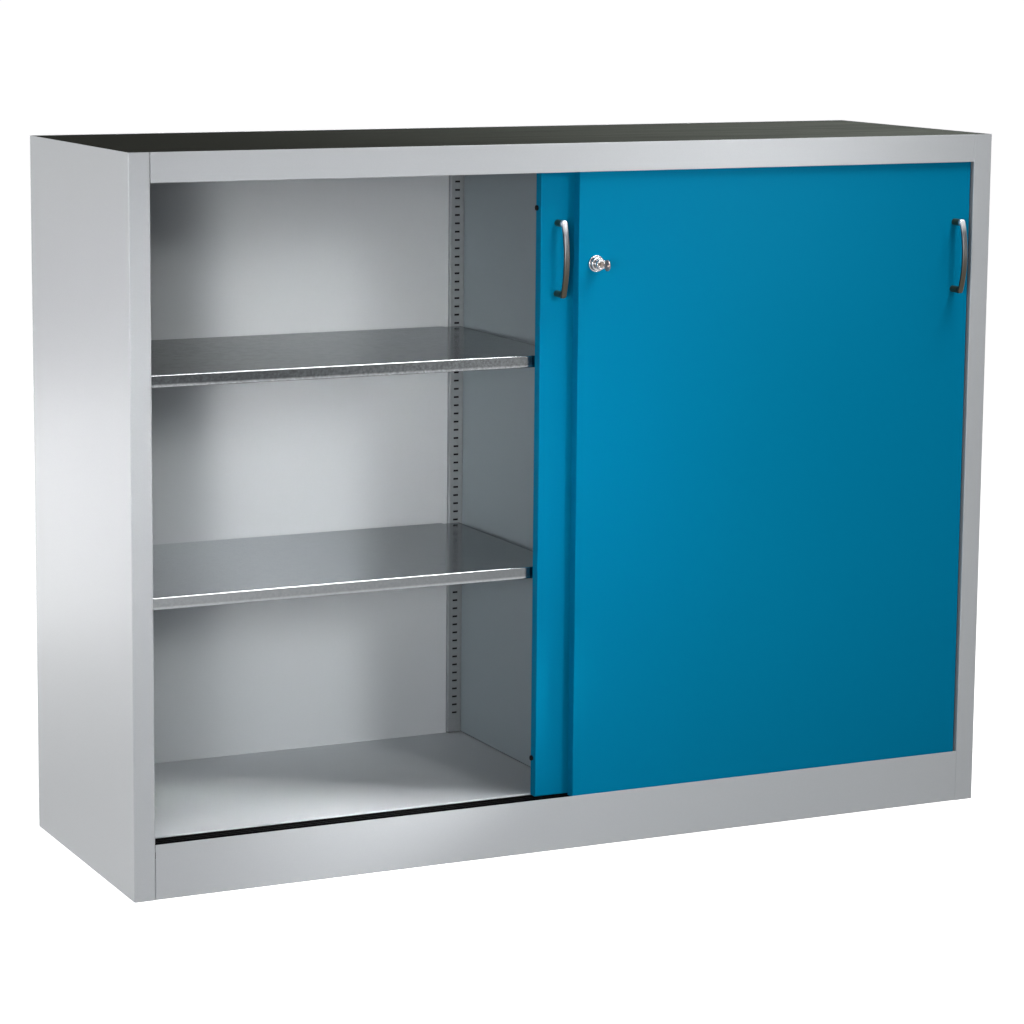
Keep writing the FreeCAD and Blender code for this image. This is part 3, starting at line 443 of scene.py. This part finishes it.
# painted reflections on the left part and painted shade on the lip; mottle is the zinc's own blotchiness
shelf_painted_light_and_mottle = {
    "lower": {"left": (220, 223, 225), "lip": (110, 113, 115), "left lip": (128, 131, 133), "mottle": 0.4},
    "upper": {"left": (38, 41, 43), "lip": (112, 115, 117), "left lip": (78, 81, 83), "mottle": 1.5}}
for side in ("left", "right"):
    for level, look in shelf_painted_light_and_mottle.items():
        name = f"shelf_{level}_{side}"
        low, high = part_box(name)
        left_part = band(ALONG_X, low.x, half=0.42, soft=0.30)
        right_edge = band(ALONG_X, high.x, half=0.0045, soft=0.0010)
        upper_skin = band(ALONG_Z, high.z, half=0.0012, soft=0.0004)
        lip = band(ALONG_Y, low.y, half=0.0005, soft=0.0001)
        lower_fold = band(ALONG_Z, low.z, half=0.0045, soft=0.002)
        front_fold = band(ALONG_Y, low.y, half=0.0014, soft=0.0003)
        upper_fold = band(ALONG_Z, high.z, half=0.0014, soft=0.0005)
        # painted reflection on the left, painted shade on the lip and at the right edge, painted highlights
        # on the folds
        marks = [(left_part, look["left"]), (lip, look["lip"]), (lip, left_part, look["left lip"]),
                 (lip, lower_fold, (150, 153, 155)), (front_fold, upper_fold, (196, 199, 201)),
                 (right_edge, upper_skin, (22, 24, 26))]
        finish(name, zinc, sheet_depth, (140, 144, 147), bare_metal, marks, look["mottle"],
               Roughness=0.12, Spangle=0.06)
        print(name, "has", len(marks), "marks")

# %% [markdown]
# ## The other metals
# The strips are zinc sheet rolled along their height. Screws and hangers are plain zinc. The lock is
# chromed and its core and key are nickel, all turned or ground much finer than a rolled sheet.

# %% The other metals
polish_depth = 0.000004
finish("strip_steel", zinc, sheet_depth, (132, 136, 139), {"Metallic": 0.3, "Specular IOR Level": 0.2},
       Roughness=0.34, Spangle=0.08, Grain=streaks("z", 4.0, 260.0))
finish("zinc_steel", zinc, sheet_depth, (190, 192, 194), bare_metal, Roughness=0.34, Spangle=0.08)
finish("screw_steel", zinc, sheet_depth, (186, 187, 188), bare_metal,
       Roughness=0.3, Spangle=0.05, Grain=(400.0, 400.0, 400.0))
finish("lock_chrome", zinc, polish_depth, (176, 177, 179), bare_metal,
       Roughness=0.16, Spangle=0.0, Grain=streaks("y", 60.0, 900.0))
finish("core_nickel", zinc, polish_depth, (120, 117, 112), bare_metal,
       Roughness=0.25, Spangle=0.0, Grain=streaks("y", 60.0, 900.0))
finish("key_nickel", zinc, polish_depth, (150, 134, 128), {"Metallic": 0.5},
       Roughness=0.25, Spangle=0.0, Grain=streaks("x", 60.0, 900.0))
print(len(finishes), "finishes so far")

# %% [markdown]
# ## The handles
# The handles are satin nickel. The upper corner of the bow is painted lighter as a painted highlight,
# the rest is painted darker towards the lower end as painted shade, and the feet are painted a dark
# brownish tone as a painted reflection where they meet the door.

# %% The handles
foot_length = 0.020
for name in ("front_door_handle", "rear_door_handle"):
    low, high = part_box(name)
    painted_shade_end = band(ALONG_Z, low.z, half=0.075, soft=0.060)
    painted_highlight_corner = band(ALONG_Z, high.z, half=0.014, soft=0.012)
    painted_shade_feet = band(ALONG_Y, high.y, foot_length, soft=0.0015)
    # painted highlight at the upper corner, painted shade towards the lower end, painted reflection on the
    # feet
    finish(name, zinc, sheet_depth, (98, 101, 106), {"Metallic": 0.8},
           [(painted_shade_end, (66, 61, 50)), (painted_highlight_corner, (210, 210, 212)), (painted_shade_feet, (96, 90, 66))],
           Roughness=0.26, Spangle=0.0, Grain=streaks("z", 60.0, 900.0))
    print(name, "is", round(1000 * (high.z - low.z)), "mm high")

# %% [markdown]
# ## The rubbers and plastics
# The mat is dark rubber with dusty streaks along its ribs. It is painted darker towards the left as
# painted shade, and it is darker along its front edge. The door guide is black plastic, the rollers are
# white and the buffers black rubber.

# %% The rubbers and plastics
rubber_depth, plastic_depth, buffer_depth = 0.00005, 0.00003, 0.00004
mat_low, mat_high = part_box("top_mat")
painted_shade_left = band(ALONG_X, mat_low.x, half=0.85, soft=0.80)
dark_front = band(ALONG_Y, mat_low.y, half=0.009, soft=0.004)
dull_plastic = {"Specular IOR Level": 0.1, "IOR": 1.45}
# painted shade towards the left; the front edge is a darker band
finish("mat_rubber", moulded, rubber_depth, (70, 73, 68), {"Specular IOR Level": 0.3, "IOR": 1.1},
       [(painted_shade_left, (26, 27, 22)), (dark_front, (22, 23, 20))],
       Roughness=0.75, Scale=700.0, Streak=streaks("x", 2.2, 30.0), Contrast=1.9)
finish("guide_plastic", moulded, plastic_depth, (10, 10, 11), dull_plastic,
       Roughness=0.45, Scale=900.0, Streak=streaks("x", 3.0, 60.0))
finish("roller_plastic", moulded, plastic_depth, (222, 222, 216), {"IOR": 1.45},
       Roughness=0.4, Scale=900.0, Streak=(80.0, 80.0, 80.0))
finish("buffer_rubber", moulded, buffer_depth, (14, 14, 14), dull_plastic,
       Roughness=0.6, Scale=900.0, Streak=(80.0, 80.0, 80.0))
print(len(finishes), "finishes")

# %% [markdown]
# ## Paint the cabinet
# The cabinet's own list says which finish each piece has. Three pieces of the inside have a paint of
# their own, and a piece with its very own marks has a finish under its own name. So one loop paints
# them all.

# %% Give each piece its finish
finish_of = {part["node"]: part["material_slot"] for part in frame["record"]["subparts"]}
finish_of.update(partition="partition_paint", back_panel="back_paint", floor_panel="floor_paint")
for name, piece in frame["nodes"].items():
    piece.data.materials.clear()
    piece.data.materials.append(finishes[name if name in finishes else finish_of[name]])
print("painted", len(frame["nodes"]), "pieces")

# %% [markdown]
# ## The ribbed mat
# The top is covered by a thin rubber mat with fine ribs that run along the cabinet. One rib is
# modelled as a long bar whose upper edges are bevelled round, and an Array modifier sets one
# beside the other over the whole depth. The ribs are real geometry, because seen from above they
# catch the light one by one, which a bump on a flat sheet doesn't do at its outline.

# %% One bar of the mat
rib_count = 142
rib_pitch = (mat_high.y - mat_low.y) / rib_count
bar_middle = ((mat_low.x + mat_high.x) / 2, mat_low.y + rib_pitch / 2, (mat_low.z + mat_high.z) / 2)
bpy.ops.object.select_all(action="DESELECT")
bpy.ops.mesh.primitive_cube_add(size=1, location=bar_middle)
mat = bpy.context.object
mat.name = mat.data.name = "ribbed_mat"
mat.scale = (mat_high.x - mat_low.x, rib_pitch, mat_high.z - mat_low.z)
bpy.ops.object.transform_apply(location=True, rotation=True, scale=True)
print("one rib every", round(1000 * rib_pitch, 2), "mm")

# %% [markdown]
# The operators of edit mode act on what is selected. So the four edges on top of the bar are picked
# by their height, and bevelled. Then its two long sides are picked by their normal and taken out,
# because bars that stand side by side need no walls between them.

# %% Round the bar and open its sides
near = 0.00001
groove_depth = 0.0011


def select_in(piece, kind, elements, wanted):
    """Selects, in edit mode, the faces or edges of a piece that a test picks, and counts them."""
    bpy.ops.object.mode_set(mode="OBJECT")
    for part in (piece.data.vertices, piece.data.edges, piece.data.polygons):
        part.foreach_set("select", [False] * len(part))
    count = 0
    for element in elements:
        element.select = wanted(element)
        count += element.select
    bpy.ops.object.mode_set(mode="EDIT")
    bpy.ops.mesh.select_mode(type=kind)
    return count


def is_upper(edge):
    """True for an edge on top of the bar."""
    return all(mat.data.vertices[corner].co.z > mat_high.z - near for corner in edge.vertices)


def is_side(face):
    """True for an upright face towards the front or the back."""
    return abs(face.normal.y) > 1 - near


upper_edges = select_in(mat, "EDGE", mat.data.edges, is_upper)
bpy.ops.mesh.bevel(offset=groove_depth, segments=3, profile=0.6)
bpy.ops.object.mode_set(mode="OBJECT")
sides = select_in(mat, "FACE", mat.data.polygons, is_side)
bpy.ops.mesh.delete(type="ONLY_FACE")
bpy.ops.object.mode_set(mode="OBJECT")
print("rounded", upper_edges, "edges and took out", sides, "side faces")

# %% [markdown]
# The modifier merges each rib with the next where they touch. Only the first and the last rib are
# then still open on one side, and a face closes each. The normals are made to point outwards, and
# only the round upper edges are shaded smooth.

# %% All the ribs
row = mat.modifiers.new("rows", "ARRAY")
row.count = rib_count
row.use_relative_offset = False
row.use_constant_offset = True
row.constant_offset_displace = (0, rib_pitch, 0)
row.use_merge_vertices = True
row.merge_threshold = 0.00005
bpy.ops.object.modifier_apply(modifier="rows")
bpy.ops.object.mode_set(mode="EDIT")
bpy.ops.mesh.select_all(action="DESELECT")
bpy.ops.mesh.select_mode(type="EDGE")
bpy.ops.mesh.select_non_manifold()
bpy.ops.mesh.edge_face_add()
bpy.ops.mesh.select_all(action="SELECT")
bpy.ops.mesh.normals_make_consistent(inside=False)
bpy.ops.object.mode_set(mode="OBJECT")
bpy.ops.object.shade_smooth_by_angle(angle=math.radians(40))
mat.data.materials.append(finishes["mat_rubber"])
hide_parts("top_mat")
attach(mat, "cabinet")
print("mat", [round(1000 * size) for size in mat.dimensions], "mm,", len(mat.data.polygons), "faces")

# %% [markdown]
# ## The floor and the background
# The floor is one large pale plane, a hair below the cabinet's foot so that no two faces lie in one
# plane. Light Path tells whether a ray comes from the camera or from a mirror: those rays see white
# with the cabinet's soft shadow on it, while the light that the floor throws back on the cabinet
# stays that of a duller floor.

# %% Lay the floor
floor_size = 400
floor_drop = 0.0005
bpy.ops.object.select_all(action="DESELECT")
bpy.ops.mesh.primitive_plane_add(size=floor_size, location=(0, 0, -floor_drop))
floor = bpy.context.object
floor.name = "studio_floor"
bpy.ops.object.transform_apply(location=True, rotation=True, scale=True)
floor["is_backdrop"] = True
print("floor", floor_size, "m wide")

# %% [markdown]
# The lamps brighten the floor near the cabinet, and they don't reach far. So the floor also glows
# for the rays that see it directly, a little less near the cabinet than further off, and the two
# together are an even white.

# %% Whiten the floor
near_reach, far_reach = 1.5, 4.0
near_glow, far_glow = 0.95, 1.0
dull_grey = (0.25, 0.25, 0.25, 1)
pale_grey = (0.6, 0.6, 0.6, 1)


def seen_directly(tree):
    """1 for rays from the camera, a mirror or through glass, otherwise 0."""
    path = add(tree, "ShaderNodeLightPath")
    either = math_node(tree, "MAXIMUM", path.outputs["Is Camera Ray"], path.outputs["Is Glossy Ray"])
    return math_node(tree, "MAXIMUM", either, path.outputs["Is Transmission Ray"])


pale = bpy.data.materials.new("studio_floor")
pale.use_nodes = True
tree = pale.node_tree
tree.nodes.remove(tree.nodes["Principled BSDF"])
seen = seen_directly(tree)
reach = vector_node(tree, "LENGTH", place_on_piece(tree)).outputs["Value"]
whiteness = add(tree, "ShaderNodeMapRange", Value=reach, From_Min=near_reach, From_Max=far_reach,
                To_Min=near_glow, To_Max=far_glow).outputs[0]
matt = add(tree, "ShaderNodeBsdfDiffuse", Color=mixed(tree, seen, dull_grey, pale_grey))
glow = add(tree, "ShaderNodeEmission", Strength=math_node(tree, "MULTIPLY", seen, whiteness))
both = add(tree, "ShaderNodeAddShader")
feed(tree, matt.outputs[0], both.inputs[0])
feed(tree, glow.outputs[0], both.inputs[1])
feed(tree, both.outputs[0], tree.nodes["Material Output"].inputs["Surface"])
floor.data.materials.append(pale)
print("floor material has", len(tree.nodes), "nodes")

# %% [markdown]
# The world does the same: white to the camera and in mirrors, and nearly dark to everything else, so
# that the lamps alone shape the light.

# %% The world
hidden_strength = 0.02
world = bpy.data.worlds.new("studio")
bpy.context.scene.world = world
world.use_nodes = True
tree = world.node_tree
sky = tree.nodes["Background"]
sky.inputs["Color"].default_value = (1, 1, 1, 1)
extra = math_node(tree, "MULTIPLY", seen_directly(tree), 1 - hidden_strength)
feed(tree, math_node(tree, "ADD", extra, hidden_strength), sky.inputs["Strength"])
print("world strength", hidden_strength, "or 1 where it is seen")

# %% [markdown]
# ## The lamps
# Large soft boxes give steel its long soft reflections. A box with a narrow spread is a beam, like a
# soft box behind a honeycomb: it lights one part of the cabinet and leaves the rest alone.

# %% A soft box
def soft_box(name, place, target, size, power, spread=180):
    """A rectangular area lamp that faces a point, with its power in watts and spread in degrees."""
    data = bpy.data.lights.new(name, "AREA")
    data.shape = "RECTANGLE"
    data.size, data.size_y = size
    data.energy = power
    data.spread = math.radians(spread)
    lamp = bpy.data.objects.new(name, data)
    bpy.context.scene.collection.objects.link(lamp)
    lamp.location = place
    lamp.rotation_euler = (Vector(target) - Vector(place)).to_track_quat("-Z", "Y").to_euler()
    lamp.visible_camera = False
    print(name, power, "W")


# %% [markdown]
# The main light stands at the front left, at the height of the top. A large box lights the whole
# front, and three beams from the same place lift the back of the compartment, the left of the
# plinth and the doors. A second place, high up at the front right, sends one beam down into the
# compartment and one on the doors, which softens the shadows of the handles.

# %% Light the front
key_place = (-2.92, -4.09, 1.19)
high_place = (0.9, -4.27, 2.0)
soft_box("key_box", key_place, (-0.35, 0.2, 0.75), (1.8, 1.2), 82)
soft_box("key_beam", key_place, (-0.40, 0.2, 0.72), (1.0, 0.5), 1.3, spread=12)
soft_box("low_beam", key_place, (-0.62, -0.25, 0.04), (0.9, 0.6), 0.24, spread=10)
soft_box("door_beam", key_place, (0.56, -0.2, 0.72), (1.6, 1.2), 0.28, spread=16)
soft_box("high_beam", high_place, (-0.45, 0.25, 0.42), (0.85, 1.3), 1.6, spread=20)
soft_box("high_door_beam", high_place, (0.5, -0.2, 0.56), (1.0, 1.0), 0.95, spread=22)

# %% [markdown]
# A box at the left lights the left wall, and a low one behind the cabinet is mirrored in that wall
# as a tall soft glow. A small beam from the right reaches under the lower shelf, to the left of the
# compartment's floor. Another draws a sheen on the rail above the doors, and a box overhead lights
# the right half of the mat.

# %% Light the sides, the floor inside and the top
soft_box("left_box", (-4.2, 0.9, 1.4), (-0.8, 0.1, 0.6), (1.4, 1.4), 70)
soft_box("glow_box", (-1.36, 1.68, 0.285), (-0.8, 0, 0.4), (0.35, 0.55), 2.2)
soft_box("floor_beam", (1.95, -1.85, 1.35), (-0.51, -0.10, 0.09), (0.05, 0.05), 0.31, spread=8)
soft_box("sheen_box", (3.1, -4.6, 0.95), (0.27, -0.25, 1.18), (0.5, 0.5), 0.12, spread=7)
soft_box("top_box", (1.0, -0.8, 3.2), (0.5, 0, 1.2), (1.2, 1.0), 75)

# %% [markdown]
# ## Check the size and finish
# The dressed cabinet must still be the size of the CAD frame.

# %% Compare the boxes and finish
low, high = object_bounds()
differences = [abs(a - b) for a, b in zip([*low, *high], [*cad_low, *cad_high])]
print("largest difference", round(1000 * max(differences), 2), "mm")
